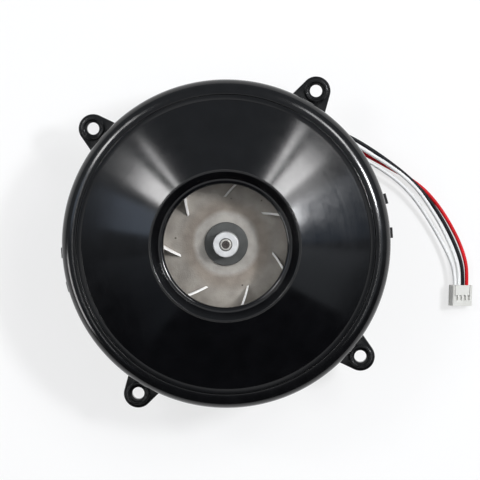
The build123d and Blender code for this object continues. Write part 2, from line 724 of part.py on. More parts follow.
def make_grommet():
    """Rubber grommet in the rear cover's wall, flat where the leads leave it."""
    low, high = LEAD_Z - GROMMET_H / 2, LEAD_Z + GROMMET_H / 2
    body = block(REAR_IN_R - GROMMET_IN, REAR_R + GROMMET_OUT, GROMMET_W, low, high)
    lip_low, lip_high = low - GROMMET_LIP, high + GROMMET_LIP
    lips = block(REAR_IN_R - GROMMET_IN, REAR_R + GROMMET_OUT, GROMMET_W + GROMMET_LIP * 2, lip_low, lip_high)
    outer_lip = lips & ring(REAR_R + SEAT_GAP, REAR_R + GROMMET_LIP_T, lip_low, lip_high)
    inner_lip = lips & ring(REAR_IN_R - GROMMET_LIP_T, REAR_IN_R - SEAT_GAP, lip_low, lip_high)
    return at(LEAD_TURN) * (body + outer_lip + inner_lip)


def lead_places():
    """Offsets of the four leads across the grommet: black, outer white, red, inner white."""
    return [LEAD_PITCH * (1.5 - index) for index in range(4)]


def make_inner_leads():
    """Short ends of the leads between the board and the grommet."""
    end = REAR_IN_R - GROMMET_IN
    stub = Pos(end - STUB_L / 2, 0, LEAD_Z) * Rot(0, 90, 0) * Cylinder(LEAD_R, STUB_L)
    return [Rot(0, 0, LEAD_TURN) * Pos(0, across, 0) * stub for across in lead_places()]


# Connector on the leads
def plug_place():
    """Place of the connector: its Y runs away from the leads and its X along the row of contacts."""
    return Pos(*PLUG_PLACE) * Rot(0, 0, PLUG_HEADING - 90) * Rot(0, -PLUG_ROLL, 0)


def plug_offsets():
    """Places of the leads along the row: black, outer white, red, inner white."""
    return [PLUG_PITCH * step for step in (-0.5, 0.5, -1.5, 1.5)]


def plug_entry(across):
    """Point where a lead meets the connector."""
    return (plug_place() * Pos(across, 0, 0)).position


def make_plug():
    """Connector housing with its windows, ports and keys."""
    body = Pos(0, PLUG_L / 2, 0) * Box(PLUG_W, PLUG_L, PLUG_H)
    body = chamfer(body.edges().filter_by(Axis.Y), PLUG_EDGE)
    for across in plug_offsets():
        window_y = PLUG_L - WINDOW_BACK - WINDOW_L / 2
        body -= Pos(across, window_y, PLUG_H / 2 - WINDOW_H / 2) * Box(WINDOW_W, WINDOW_L, WINDOW_H)
        body -= Pos(across, PLUG_L - PORT_L / 2, 0) * Box(PORT_W, PORT_L, PORT_W)
    for side in (-1, 1):
        key = Box(KEY_W, PLUG_L / 2, KEY_H)
        body += Pos(side * (PLUG_W / 2 - KEY_INSET), PLUG_L / 4, PLUG_H / 2 + KEY_H / 2) * key
    return plug_place() * body


def make_contacts():
    """Metal contacts seen in the connector's ports."""
    contact = Pos(0, PLUG_L - PORT_L / 2 - CONTACT_W / 2, 0) * Box(CONTACT_W, PORT_L - CONTACT_W, CONTACT_W)
    return [plug_place() * Pos(across, 0, 0) * contact for across in plug_offsets()]


def make_lead(name, route, grommet_across, plug_across):
    """Tube of one lead along straight runs joined by tangent arcs."""
    start = Rot(0, 0, LEAD_TURN) * Pos(REAR_R + GROMMET_OUT, grommet_across, LEAD_Z)
    points = [start.position, *[Vector(*point) for point in route], plug_entry(plug_across)]
    radii = []
    for before, here, after in zip(points, points[1:], points[2:]):
        turn = math.radians((here - before).get_angle(after - here))
        shorter = min((here - before).length, (after - here).length)
        radii.append(0.45 * shorter / math.tan(turn / 2))
    path = FilletPolyline(*points, radius=radii)
    tube = sweep(Plane(origin=path @ 0, z_dir=path % 0) * Circle(LEAD_R), path=path)
    section = math.pi * LEAD_R ** 2
    length_text = f"length {path.length:.1f}, volume ratio {tube.volume / (section * path.length):.4f}"
    print(name, "radii", [round(radius, 1) for radius in radii], length_text)
    return tube


# Housing and cover
def make_ear():
    """Mounting ear on the X axis: tapered tongue with a collar and a sunk screw hole."""
    taper = math.radians(EAR_TAPER)
    tangent_x = EAR_PLACE_R + EAR_ROUND_R * math.sin(taper)
    tangent_y = EAR_ROUND_R * math.cos(taper)
    root_x = INNER_R
    root_y = tangent_y + (tangent_x - root_x) * math.tan(taper)
    sides = ((root_x, root_y), (tangent_x, tangent_y), (tangent_x, -tangent_y), (root_x, -root_y))
    tongue = extrude(outline(sides), EAR_T) + Pos(EAR_PLACE_R, 0, 0) * peg(EAR_ROUND_R, 0, EAR_T)
    ear = tongue + Pos(EAR_PLACE_R, 0, 0) * peg(EAR_COLLAR_R, 0, EAR_T + EAR_COLLAR_H)
    ear -= Pos(EAR_PLACE_R, 0, 0) * peg(EAR_HOLE_R, -CUT, EAR_T + EAR_COLLAR_H + CUT)
    top = EAR_T + EAR_COLLAR_H
    ear -= Pos(EAR_PLACE_R, 0, 0) * peg(EAR_SINK_R, top - EAR_SINK_H, top + CUT)
    ear -= peg(INNER_R + HOUSING_T / 2, -CUT, EAR_T + CUT)
    return Pos(0, 0, EAR_Z) * ear


def make_fan_housing():
    """Outer housing ring: rounded shoulder, ledge for the cover, wall, ears and lug windows."""
    upper_r, root_r = INNER_R - STEP_T, OPEN_R + LEDGE_ROOT_W
    housing = turned((
        (OPEN_R, SHOULDER_Z), (OUTER_R, SHOULDER_Z), (OUTER_R, WALL_Z), (INNER_R, WALL_Z), (INNER_R, PLATE_Z),
        (upper_r, PLATE_Z), (upper_r, LEDGE_UNDER_Z - upper_r + root_r), (root_r, LEDGE_UNDER_Z),
        (LEDGE_R, LEDGE_UNDER_Z), (LEDGE_R, LEDGE_Z), (OPEN_R, LEDGE_Z),
    ), {1: SHOULDER_R, 2: WALL_EDGE_R})
    for turn in EAR_TURNS:
        housing += at(turn) * make_ear()
    for turn in LUG_TURNS:
        window = block(
            INNER_R - CUT, OUTER_R + CUT, LUG_W + WINDOW_GAP * 2, LUG_Z - WINDOW_GAP, LUG_TOP + WINDOW_GAP,
        )
        housing -= at(turn) * window
    return housing


def make_inlet_cover():
    """Conical inlet cover with its raised lip, throat tube, band and snap skirt."""
    under_r = CONE_START_R + EYE_CLEAR
    cover = turned((
        (THROAT_R, EYE_TOP - THROAT_DIP), (THROAT_OUT_R, EYE_TOP - THROAT_DIP), (THROAT_OUT_R, SHELF_UNDER_Z),
        (SHELF_R + WALL, SHELF_UNDER_Z), (under_r, cone_z(under_r) - CONE_WALL_H),
        (SKIRT_IN_R, cone_z(SKIRT_IN_R) - CONE_WALL_H), (SKIRT_IN_R, SKIRT_END_Z), (SKIRT_R, SKIRT_END_Z),
        (SKIRT_R, BAND_UNDER_Z), (BAND_OUT_R, BAND_UNDER_Z), (BAND_OUT_R, BAND_Z), (BAND_IN_R, BAND_Z),
        (CONE_END_R, CONE_END_Z), (CONE_START_R, CONE_Z), (CREST_OUT_R, LIP_Z), (CREST_IN_R, LIP_Z),
        (SHELF_R, SHELF_Z), (THROAT_R, SHELF_Z),
    ), {17: THROAT_ROUND_R})
    barb = sector(SKIRT_R - SKIRT_T / 2, SKIRT_R + BARB_W, BARB_SPAN, SKIRT_END_Z, SKIRT_END_Z + BARB_H)
    for turn in around(BARB_COUNT):
        cover += at(turn) * barb
    return cover


def cone_z(radius):
    """Height of the cone's outer face at a radius."""
    return CONE_Z - (radius - CONE_START_R) * CONE_FALL_SHARE


# Every node with its solids
plug_across = plug_offsets()
grommet_across = lead_places()
routes = {
    "lead_black": ROUTE_BLACK, "lead_white_outer": ROUTE_WHITE_OUTER,
    "lead_red": ROUTE_RED, "lead_white_inner": ROUTE_WHITE_INNER,
}
upper_insulator = make_upper_insulator()
rotor_end = REAR_BEARING_TOP + CIRCLIP_T
nodes = {
    "inlet_cover": make_inlet_cover(),
    "cover_seal": ring(LEDGE_R, OPEN_R - SEAT_GAP, LEDGE_Z, BAND_UNDER_Z),
    "fan_housing": make_fan_housing(),
    "motor_carrier": make_motor_carrier(),
    "outlet_ribs": make_outlet_ribs(),
    "outlet_rim": make_outlet_rim(),
    "diffuser": make_diffuser(),
    "motor_bracket": make_motor_bracket(),
    "bracket_screws": [place * Pos(0, 0, PLATE_TOP) * screw(BRACKET_SCREW_L, below=False)
                       for place in bracket_screw_places()],
    "stator_core": make_stator_core(),
    "upper_insulator": upper_insulator,
    "lower_insulator": mirror(upper_insulator, about=Plane.XY.offset(CORE_MID)),
    "stator_coils": make_coils(),
    "phase_pins": make_phase_pins(),
    "rear_cover": make_rear_cover(),
    "rear_cover_screws": [at(turn, TAB_PLACE_R, TUBE_END_Z - REAR_FLANGE_T) * screw(SCREW_L)
                          for turn in around(TAB_COUNT)],
    "preload_spring": turned((
        (PRELOAD_IN_R, REAR_FLOOR_T), (BEARING_R - RUN_GAP, REAR_BEARING_Z - PRELOAD_T),
        (BEARING_R - RUN_GAP, REAR_BEARING_Z), (PRELOAD_IN_R, REAR_FLOOR_T + PRELOAD_T),
    )),
    "driver_board": make_driver_board(),
    "board_screws": [place * Pos(0, 0, BOARD_TOP) * screw(BOARD_SCREW_L, below=False)
                     for place in post_places()],
    "power_transistors": [on_board(TRANSISTOR, turn, PART_PLACE_R) for turn in TRANSISTOR_TURNS],
    "motor_controller": on_board(CONTROLLER, CONTROLLER_TURN, PART_PLACE_R),
    "current_shunt": on_board(SHUNT, SHUNT_TURN, PART_PLACE_R),
    "bulk_capacitor": make_capacitor(),
    "hall_sensors": [on_board(HALL, turn, HALL_PLACE_R) for turn in around(HALL_COUNT)],
    "lead_grommet": make_grommet(),
    "inner_leads": make_inner_leads(),
    "connector_housing": make_plug(),
    "connector_contacts": make_contacts(),
    "shaft": make_shaft(),
    "rotor_core": ring(BORE_R, MAGNET_R - MAGNET_T - SEAT_GAP, CORE_Z - MAGNET_OVER, CORE_TOP + MAGNET_OVER),
    "rotor_magnet": ring(MAGNET_R - MAGNET_T, MAGNET_R, CORE_Z - MAGNET_OVER, CORE_TOP + MAGNET_OVER),
    "balance_rings": make_balance_rings(),
    "retaining_ring": ring(
        SHAFT_R - CIRCLIP_GROOVE + FIT_GAP, SHAFT_R + CIRCLIP_W, REAR_BEARING_TOP, rotor_end,
    ),
    "fan_spacer": ring(BORE_R, SPACER_R, FRONT_BEARING_TOP, BACKING_Z),
    "backing_washer": ring(BORE_R, CLAMP_R, BACKING_Z, BACKPLATE_Z),
    "fan_backplate": ring(BORE_R, FAN_R, BACKPLATE_Z, FAN_Z),
    "fan_blades": make_blades(),
    "fan_shroud": make_shroud(),
    "clamp_washer": make_clamp_washer(),
    "clamp_collar": make_clamp_collar(),
}
for index, (name, route) in enumerate(routes.items()):
    nodes[name] = make_lead(name, route, grommet_across[index], plug_across[index])
for place, low in (("front", FRONT_BEARING_Z), ("rear", REAR_BEARING_Z)):
    for piece, solids in bearing(low).items():
        nodes[f"{place}_bearing_{piece}"] = solids

os.makedirs("parts", exist_ok=True)
for name, solids in nodes.items():
    shape = Compound(children=solids) if isinstance(solids, list) else solids
    export_step(shape, f"parts/{name}.step")
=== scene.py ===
import json
import logging
import math
from dataclasses import dataclass, field
from enum import Enum

import bmesh
import bpy
from mathutils import Matrix, Vector


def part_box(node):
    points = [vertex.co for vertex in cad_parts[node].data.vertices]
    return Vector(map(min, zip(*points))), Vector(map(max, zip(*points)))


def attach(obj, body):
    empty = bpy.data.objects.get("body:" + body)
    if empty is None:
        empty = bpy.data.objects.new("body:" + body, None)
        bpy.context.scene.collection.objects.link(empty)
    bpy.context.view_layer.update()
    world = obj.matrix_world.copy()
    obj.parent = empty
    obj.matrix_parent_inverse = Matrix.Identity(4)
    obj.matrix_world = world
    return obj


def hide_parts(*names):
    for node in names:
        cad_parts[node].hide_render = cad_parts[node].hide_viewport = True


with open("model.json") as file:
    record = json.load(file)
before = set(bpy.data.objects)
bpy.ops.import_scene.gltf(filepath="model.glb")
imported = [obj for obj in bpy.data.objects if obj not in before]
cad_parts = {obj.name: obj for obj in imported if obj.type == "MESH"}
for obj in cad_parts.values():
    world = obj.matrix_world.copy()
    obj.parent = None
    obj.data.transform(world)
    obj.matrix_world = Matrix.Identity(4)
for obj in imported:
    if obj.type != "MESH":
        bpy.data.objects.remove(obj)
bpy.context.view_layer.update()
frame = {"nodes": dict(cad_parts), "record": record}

MM = 0.001
HOUSING = "housing"
VIEW_ROLL = math.radians(9.56)
LOG = logging.getLogger("vacuum_motor")

Colour = tuple[float, float, float]
Corner = tuple[float, float, float]

# Steps that the finishes share
WHITE = (1.0, 1.0, 1.0)
MOTTLE_SHARE = 0.12
POLISH_SHARE = 0.6
SHEET_SHARE = 0.5
MOTTLE_ENDS = (0.35, 0.65)
NOISE_ENDS = (0.3, 0.7)
LAMINATION_STRETCH = (0.02, 0.02, 1.0)
GRAIN_STRETCH = (1.0, 0.15, 1.0)
WOBBLE_SCALE = 90.0
SPECK_ENDS = (0.05, 0.08)
SPECK_COLOUR = (0.35, 0.33, 0.31)


class Pattern(Enum):
    """What the surface of a finish shows up close."""

    MOULDED = "moulded"
    POLISHED = "polished"
    TURNED = "turned"
    SHEET = "sheet"
    GRAIN = "grain"
    LAMINATED = "laminated"
    WOUND = "wound"


@dataclass(frozen=True)
class Finish:
    """One surface finish: its colours, gloss and the pattern of its fine relief."""

    name: str
    colour: Colour
    second: Colour
    pattern: Pattern = Pattern.MOULDED
    metallic: float = 0.0
    rough_low: float = 0.4
    rough_high: float = 0.55
    scale: float = 400.0
    relief: float = 0.1
    depth: float = 0.0001
    specular: float = 0.5
    coat: float = 0.0
    coat_rough: float = 0.1
    zones: tuple[tuple[float, Colour], ...] = ()
    wobble: float = 0.0
    specks: float = 0.0

    def build(self) -> bpy.types.Material:
        """Makes the material from its nodes.

        Returns:
            The material, ready to assign.
        """
        material = bpy.data.materials.new(finish_name(self.name))
        material.use_nodes = True
        graph = Graph(material.node_tree)
        shader = graph.shader
        shader.inputs["Metallic"].default_value = self.metallic
        shader.inputs["Specular IOR Level"].default_value = self.specular
        shader.inputs["Coat Weight"].default_value = self.coat
        shader.inputs["Coat Roughness"].default_value = self.coat_rough
        mottle = graph.noise(self.scale * MOTTLE_SHARE, detail=4.0)
        fine = graph.pattern(self.pattern, self.scale)
        colour = graph.ramp(mottle, self.colour, self.second)
        if self.zones:
            colour = graph.multiply(colour, graph.zones(self.zones, self.wobble))
        if self.specks:
            colour = graph.multiply(colour, graph.specks(self.specks))
        graph.link(colour, shader.inputs["Base Color"])
        graph.spread(graph.blend(mottle, fine), self.rough_low, self.rough_high, "Roughness")
        graph.bump(fine, self.relief, self.depth)
        return material


def finish_name(slot: str) -> str:
    """Name of the material that dresses a slot."""
    return slot + "_finish"


class Graph:
    """Node tree of one material, with the few steps that every finish uses."""

    def __init__(self, tree: bpy.types.NodeTree) -> None:
        """Takes the tree of a new material and finds its shader.

        Args:
            tree: The material's node tree.
        """
        self.tree = tree
        self.shader = tree.nodes["Principled BSDF"]
        self.place = tree.nodes.new("ShaderNodeTexCoord").outputs["Object"]

    def node(self, kind: str, **settings: object) -> bpy.types.Node:
        """Adds a node.

        Args:
            kind: The node's type without its ShaderNode prefix.
            settings: Its properties, or the values of its inputs by name with spaces as underscores.

        Returns:
            The new node.
        """
        node = self.tree.nodes.new("ShaderNode" + kind)
        for name, value in settings.items():
            socket = name.replace("_", " ").title()
            if socket in node.inputs:
                node.inputs[socket].default_value = value
            else:
                setattr(node, name, value)
        return node

    def link(self, source: bpy.types.NodeSocket, target: bpy.types.NodeSocket) -> None:
        """Joins two sockets."""
        self.tree.links.new(source, target)

    def noise(self, scale: float, detail: float, stretch: Corner = (1.0, 1.0, 1.0)) -> bpy.types.NodeSocket:
        """Adds noise in the object's own space.

        Args:
            scale: Its features per metre.
            detail: Its octaves.
            stretch: How its space is scaled along X, Y and Z.

        Returns:
            The noise's value.
        """
        mapping = self.node("Mapping")
        mapping.inputs["Scale"].default_value = stretch
        self.link(self.place, mapping.inputs["Vector"])
        noise = self.node("TexNoise", scale=scale, detail=detail)
        self.link(mapping.outputs["Vector"], noise.inputs["Vector"])
        return noise.outputs["Fac"]

    def radius(self) -> bpy.types.NodeSocket:
        """Adds the distance from the shaft's axis.

        Returns:
            The distance in metres.
        """
        flat = self.node("VectorMath", operation="MULTIPLY")
        self.link(self.place, flat.inputs[0])
        flat.inputs[1].default_value = (1.0, 1.0, 0.0)
        length = self.node("VectorMath", operation="LENGTH")
        self.link(flat.outputs["Vector"], length.inputs[0])
        return length.outputs["Value"]

    def rings(self, scale: float) -> bpy.types.NodeSocket:
        """Adds uneven concentric marks about the shaft's axis.

        Args:
            scale: Marks per metre of radius.

        Returns:
            The marks' value.
        """
        split = self.node("SeparateXYZ")
        self.link(self.place, split.inputs["Vector"])
        line = self.node("CombineXYZ")
        self.link(self.radius(), line.inputs["X"])
        self.link(split.outputs["Z"], line.inputs["Y"])
        noise = self.node("TexNoise", scale=scale, detail=3.0)
        self.link(line.outputs["Vector"], noise.inputs["Vector"])
        return noise.outputs["Fac"]

    def pattern(self, pattern: Pattern, scale: float) -> bpy.types.NodeSocket:
        """Adds the fine pattern of a finish.

        Args:
            pattern: Which pattern.
            scale: Its features per metre.

        Returns:
            The pattern's value, about 0 to 1.
        """
        if pattern in (Pattern.POLISHED, Pattern.TURNED):
            return self.blend(self.rings(scale), self.noise(scale * POLISH_SHARE, detail=5.0))
        if pattern is Pattern.LAMINATED:
            return self.noise(scale, detail=2.0, stretch=LAMINATION_STRETCH)
        if pattern is Pattern.WOUND:
            wave = self.node("TexWave", scale=scale, distortion=0.6, bands_direction="Z")
            self.link(self.place, wave.inputs["Vector"])
            return wave.outputs["Fac"]
        if pattern is Pattern.SHEET:
            specks = self.node("TexVoronoi", scale=scale)
            self.link(self.place, specks.inputs["Vector"])
            return self.blend(specks.outputs["Distance"], self.noise(scale * SHEET_SHARE, detail=6.0))
        if pattern is Pattern.GRAIN:
            return self.noise(scale, detail=8.0, stretch=GRAIN_STRETCH)
        return self.noise(scale, detail=6.0)

    def blend(self, first: bpy.types.NodeSocket, second: bpy.types.NodeSocket) -> bpy.types.NodeSocket:
        """Averages two values.

        Args:
            first: One value.
            second: The other.

        Returns:
            Their mean.
        """
        total = self.node("Math", operation="ADD")
        self.link(first, total.inputs[0])
        self.link(second, total.inputs[1])
        half = self.node("Math", operation="MULTIPLY")
        self.link(total.outputs[0], half.inputs[0])
        half.inputs[1].default_value = 0.5
        return half.outputs[0]

    def ramp(self, value: bpy.types.NodeSocket, low: Colour, high: Colour) -> bpy.types.NodeSocket:
        """Moves between two colours.

        Args:
            value: The value that moves between them.
            low: Colour at the value's low end.
            high: Colour at its high end.

        Returns:
            The colour.
        """
        ramp = self.node("ValToRGB")
        ends = ramp.color_ramp.elements
        ends[0].position, ends[1].position = MOTTLE_ENDS
        ends[0].color, ends[1].color = (*low, 1.0), (*high, 1.0)
        self.link(value, ramp.inputs["Fac"])
        return ramp.outputs["Color"]

    def multiply(self, first: bpy.types.NodeSocket, second: bpy.types.NodeSocket) -> bpy.types.NodeSocket:
        """Multiplies two colours.

        Args:
            first: One colour.
            second: The other.

        Returns:
            Their product.
        """
        product = self.node("VectorMath", operation="MULTIPLY")
        self.link(first, product.inputs[0])
        self.link(second, product.inputs[1])
        return product.outputs["Vector"]

    def zones(self, stops: tuple[tuple[float, Colour], ...], wobble: float) -> bpy.types.NodeSocket:
        """Adds colours that follow the distance from the shaft.

        Args:
            stops: Radii in millimetres and the colour at each, from the shaft outwards.
            wobble: How uneven the zones' edges are, in millimetres.

        Returns:
            The colour.
        """
        drift = self.node("Math", operation="MULTIPLY")
        self.link(self.noise(WOBBLE_SCALE, detail=2.0), drift.inputs[0])
        drift.inputs[1].default_value = wobble * MM
        total = self.node("Math", operation="ADD")
        self.link(self.radius(), total.inputs[0])
        self.link(drift.outputs[0], total.inputs[1])
        share = self.node("Math", operation="DIVIDE")
        self.link(total.outputs[0], share.inputs[0])
        share.inputs[1].default_value = stops[-1][0] * MM
        ramp = self.node("ValToRGB")
        self.link(share.outputs[0], ramp.inputs["Fac"])
        marks = ramp.color_ramp.elements
        marks[0].color = (*stops[0][1], 1.0)
        marks[1].color = (*stops[-1][1], 1.0)
        for radius, colour in stops[1:-1]:
            marks.new(radius / stops[-1][0]).color = (*colour, 1.0)
        return ramp.outputs["Color"]

    def specks(self, scale: float) -> bpy.types.NodeSocket:
        """Adds small dark specks, far apart.

        Args:
            scale: Specks per metre.

        Returns:
            The colour, white between the specks.
        """
        cells = self.node("TexVoronoi", scale=scale)
        self.link(self.place, cells.inputs["Vector"])
        ramp = self.node("ValToRGB")
        self.link(cells.outputs["Distance"], ramp.inputs["Fac"])
        ends = ramp.color_ramp.elements
        ends[0].position, ends[1].position = SPECK_ENDS
        ends[0].color = (*SPECK_COLOUR, 1.0)
        return ramp.outputs["Color"]

    def spread(self, value: bpy.types.NodeSocket, low: float, high: float, socket: str) -> None:
        """Maps a value to a range of a shader socket.

        Args:
            value: The value, mostly between 0.3 and 0.7.
            low: The socket's value at the low end.
            high: Its value at the high end.
            socket: Name of the shader's socket.
        """
        spread = self.node("MapRange")
        spread.inputs["From Min"].default_value, spread.inputs["From Max"].default_value = NOISE_ENDS
        spread.inputs["To Min"].default_value = low
        spread.inputs["To Max"].default_value = high
        self.link(value, spread.inputs["Value"])
        self.link(spread.outputs["Result"], self.shader.inputs[socket])

    def bump(self, value: bpy.types.NodeSocket, strength: float, depth: float) -> None:
        """Adds fine relief.

        Args:
            value: Its height.
            strength: How much of it shows.
            depth: Its real depth in metres.
        """
        bump = self.node("Bump", strength=strength, distance=depth)
        self.link(value, bump.inputs["Height"])
        self.link(bump.outputs["Normal"], self.shader.inputs["Normal"])


FINISHES = (
    Finish("black_gloss", (0.0014, 0.0014, 0.0018), (0.0024, 0.0024, 0.003), Pattern.POLISHED,
           rough_low=0.1, rough_high=0.17, scale=900.0, relief=0.04, depth=0.00005),
    Finish("housing_gloss", (0.0022, 0.0022, 0.0026), (0.0035, 0.0035, 0.004), Pattern.MOULDED,
           rough_low=0.14, rough_high=0.2, scale=1500.0, relief=0.06, depth=0.00005),
    Finish("black_satin", (0.005, 0.005, 0.0055), (0.008, 0.008, 0.0085), Pattern.MOULDED,
           rough_low=0.36, rough_high=0.52, scale=2600.0, relief=0.25, specular=0.35),
    Finish("black_rubber", (0.012, 0.012, 0.012), (0.022, 0.022, 0.022), Pattern.MOULDED,
           rough_low=0.6, rough_high=0.8, scale=1800.0, relief=0.3, specular=0.35),
    Finish("cast_aluminium", (0.5, 0.51, 0.53), (0.66, 0.67, 0.68), Pattern.TURNED, metallic=1.0,
           rough_low=0.28, rough_high=0.45, scale=1500.0, relief=0.2),
    # fan_sheet's zones keep the centre to 14.4 mm pale, darken a brownish ring from 16.4 to 19 mm and the
    # sheet beyond a little: partly a brown stain, partly painted shade of a dished centre.
    Finish("fan_sheet", (0.355, 0.333, 0.308), (0.43, 0.406, 0.375), Pattern.SHEET, metallic=0.75,
           rough_low=0.4, rough_high=0.5, scale=1900.0, relief=0.5, depth=0.00012, wobble=2.4, specks=150.0,
           zones=((0.0, (1.0, 1.0, 1.0)), (14.4, (1.0, 1.0, 0.99)), (16.4, (0.72, 0.66, 0.61)),
                  (19.0, (0.76, 0.71, 0.66)), (22.5, (0.88, 0.86, 0.83)), (40.0, (0.9, 0.88, 0.85)))),
    # The blades' finish is the fan sheet made pale and nearly non-metallic so the blade tops show bright
    # everywhere: a painted highlight.
    Finish("blade_sheet_painted_highlight", (0.88, 0.87, 0.85), (0.95, 0.94, 0.92), Pattern.SHEET, metallic=0.15,
           rough_low=0.3, rough_high=0.42, scale=1900.0, relief=0.2, depth=0.00008),
    # collar_aluminium's zones paint the bore's edge round the shaft nearly black out to 2.8 mm: painted shade
    # in the gap between collar and shaft.
    Finish("collar_aluminium", (0.61, 0.61, 0.61), (0.69, 0.69, 0.69), Pattern.TURNED, metallic=0.6,
           rough_low=0.35, rough_high=0.5, scale=3000.0, relief=0.2, depth=0.00005,
           zones=((0.0, (0.06, 0.06, 0.06)), (2.8, (0.06, 0.06, 0.06)), (2.95, (1.0, 1.0, 1.0)),
                  (10.0, (1.0, 1.0, 1.0)))),
    Finish("black_steel", (0.062, 0.064, 0.062), (0.08, 0.082, 0.08), Pattern.MOULDED, metallic=0.5,
           rough_low=0.45, rough_high=0.6, scale=2500.0, relief=0.15),
    Finish("ground_steel", (0.56, 0.56, 0.55), (0.64, 0.64, 0.63), Pattern.TURNED, metallic=1.0,
           rough_low=0.2, rough_high=0.34, scale=3500.0, relief=0.1, depth=0.00004),
    # The shaft's zones paint its end face dark brown as a painted reflection of the dark room overhead, and
    # leave the rim and chamfer light, with the steel made less metallic, as a painted highlight.
    Finish("shaft_steel_painted_reflection", (0.6, 0.59, 0.57), (0.7, 0.69, 0.67), Pattern.TURNED, metallic=0.5,
           rough_low=0.22, rough_high=0.34, scale=2500.0, relief=0.08, depth=0.00004,
           zones=((0.0, (0.1, 0.088, 0.084)), (1.7, (0.1, 0.088, 0.084)), (1.9, (1.0, 0.98, 0.94)),
                  (5.0, (1.0, 1.0, 1.0)))),
    Finish("zinc_screws", (0.58, 0.6, 0.61), (0.72, 0.73, 0.7), Pattern.GRAIN, metallic=1.0,
           rough_low=0.24, rough_high=0.4, scale=2000.0, relief=0.2),
    Finish("core_steel", (0.3, 0.31, 0.33), (0.42, 0.43, 0.45), Pattern.LAMINATED, metallic=1.0,
           rough_low=0.35, rough_high=0.5, scale=2600.0, relief=0.5),
    Finish("magnet_ferrite", (0.06, 0.06, 0.065), (0.1, 0.1, 0.105), Pattern.GRAIN, metallic=0.6,
           rough_low=0.4, rough_high=0.6, scale=1500.0, relief=0.3),
    Finish("balance_brass", (0.72, 0.52, 0.22), (0.85, 0.65, 0.34), Pattern.TURNED, metallic=1.0,
           rough_low=0.25, rough_high=0.4, scale=2500.0, relief=0.2),
    Finish("coil_copper", (0.55, 0.2, 0.07), (0.78, 0.33, 0.14), Pattern.WOUND, metallic=0.9,
           rough_low=0.22, rough_high=0.4, scale=600.0, relief=0.9, coat=0.4),
    Finish("insulator_nylon", (0.74, 0.72, 0.64), (0.84, 0.82, 0.75), Pattern.MOULDED,
           rough_low=0.4, rough_high=0.6, scale=1500.0, relief=0.2),
    Finish("board_green", (0.015, 0.13, 0.06), (0.025, 0.19, 0.09), Pattern.MOULDED,
           rough_low=0.25, rough_high=0.4, scale=1200.0, relief=0.15, coat=0.3),
    Finish("chip_black", (0.02, 0.02, 0.022), (0.035, 0.035, 0.038), Pattern.MOULDED,
           rough_low=0.5, rough_high=0.7, scale=3000.0, relief=0.35),
    Finish("can_aluminium", (0.66, 0.67, 0.69), (0.78, 0.79, 0.8), Pattern.TURNED, metallic=1.0,
           rough_low=0.22, rough_high=0.36, scale=1800.0, relief=0.15),
    Finish("lead_black", (0.003, 0.004, 0.006), (0.006, 0.007, 0.009), Pattern.GRAIN,
           rough_low=0.4, rough_high=0.52, scale=900.0, relief=0.15, specular=0.13),
    Finish("lead_red", (0.44, 0.002, 0.006), (0.54, 0.005, 0.011), Pattern.GRAIN,
           rough_low=0.4, rough_high=0.52, scale=900.0, relief=0.15, specular=0.13),
    Finish("lead_white", (0.64, 0.64, 0.635), (0.7, 0.7, 0.695), Pattern.GRAIN,
           rough_low=0.34, rough_high=0.48, scale=900.0, relief=0.15, specular=0.35),
    Finish("connector_nylon", (0.5, 0.495, 0.465), (0.56, 0.555, 0.525), Pattern.MOULDED,
           rough_low=0.38, rough_high=0.52, scale=1500.0, relief=0.15),
)


def smooth_by_angle(mesh: bpy.types.Mesh, degrees: float) -> None:
    """Shades a mesh smooth apart from its sharp edges.

    Args:
        mesh: The mesh.
        degrees: Edges that turn by more than this stay sharp.
    """
    work = bmesh.new()
    work.from_mesh(mesh)
    limit = math.radians(degrees)
    for face in work.faces:
        face.smooth = True
    for edge in work.edges:
        edge.smooth = len(edge.link_faces) == 2 and edge.calc_face_angle(0.0) < limit
    work.to_mesh(mesh)
    work.free()


def make_piece(name: str, mesh: bpy.types.Mesh, slot: str, body: str) -> bpy.types.Object:
    """Makes an object of a mesh, finished and riding on a body.

    Args:
        name: The piece's name.
        mesh: Its mesh, in the row frame.
        slot: Material slot whose finish it takes.
        body: The CAD body that it rides on.

    Returns:
        The new object.
    """
    piece = bpy.data.objects.new(name, mesh)
    bpy.context.scene.collection.objects.link(piece)
    mesh.materials.clear()
    mesh.materials.append(bpy.data.materials[finish_name(slot)])
    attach(piece, body)
    return piece


def applied(piece: bpy.types.Object) -> bpy.types.Mesh:
    """Makes the mesh of an object with its modifiers applied.

    Args:
        piece: The object.

    Returns:
        The new mesh.
    """
    bpy.context.view_layer.update()
    graph = bpy.context.evaluated_depsgraph_get()
    return bpy.data.meshes.new_from_object(piece.evaluated_get(graph))


def mesh_of(work: bmesh.types.BMesh, name: str) -> bpy.types.Mesh:
    """Turns a finished bmesh into a mesh with outward faces.

    Args:
        work: The bmesh, which is freed.
        name: The mesh's name.

    Returns:
        The mesh.
    """
    bmesh.ops.recalc_face_normals(work, faces=work.faces)
    mesh = bpy.data.meshes.new(name)
    work.to_mesh(mesh)
    work.free()
    return mesh


def combined(base: bpy.types.Mesh, others: list[bpy.types.Mesh], operation: str) -> bpy.types.Mesh:
    """Joins solid meshes to another or cuts them from it.

    Args:
        base: The mesh that is changed.
        others: The solids that are added or cut, one after another.
        operation: UNION or DIFFERENCE.

    Returns:
        The new mesh.
    """
    for other in others:
        holder = bpy.data.objects.new("holder", base)
        tool = bpy.data.objects.new("tool", other)
        for item in (holder, tool):
            bpy.context.scene.collection.objects.link(item)
        cut = holder.modifiers.new("cut", "BOOLEAN")
        cut.operation, cut.object, cut.solver = operation, tool, "EXACT"
        base = applied(holder)
        bpy.data.objects.remove(holder)
        bpy.data.objects.remove(tool)
    return base


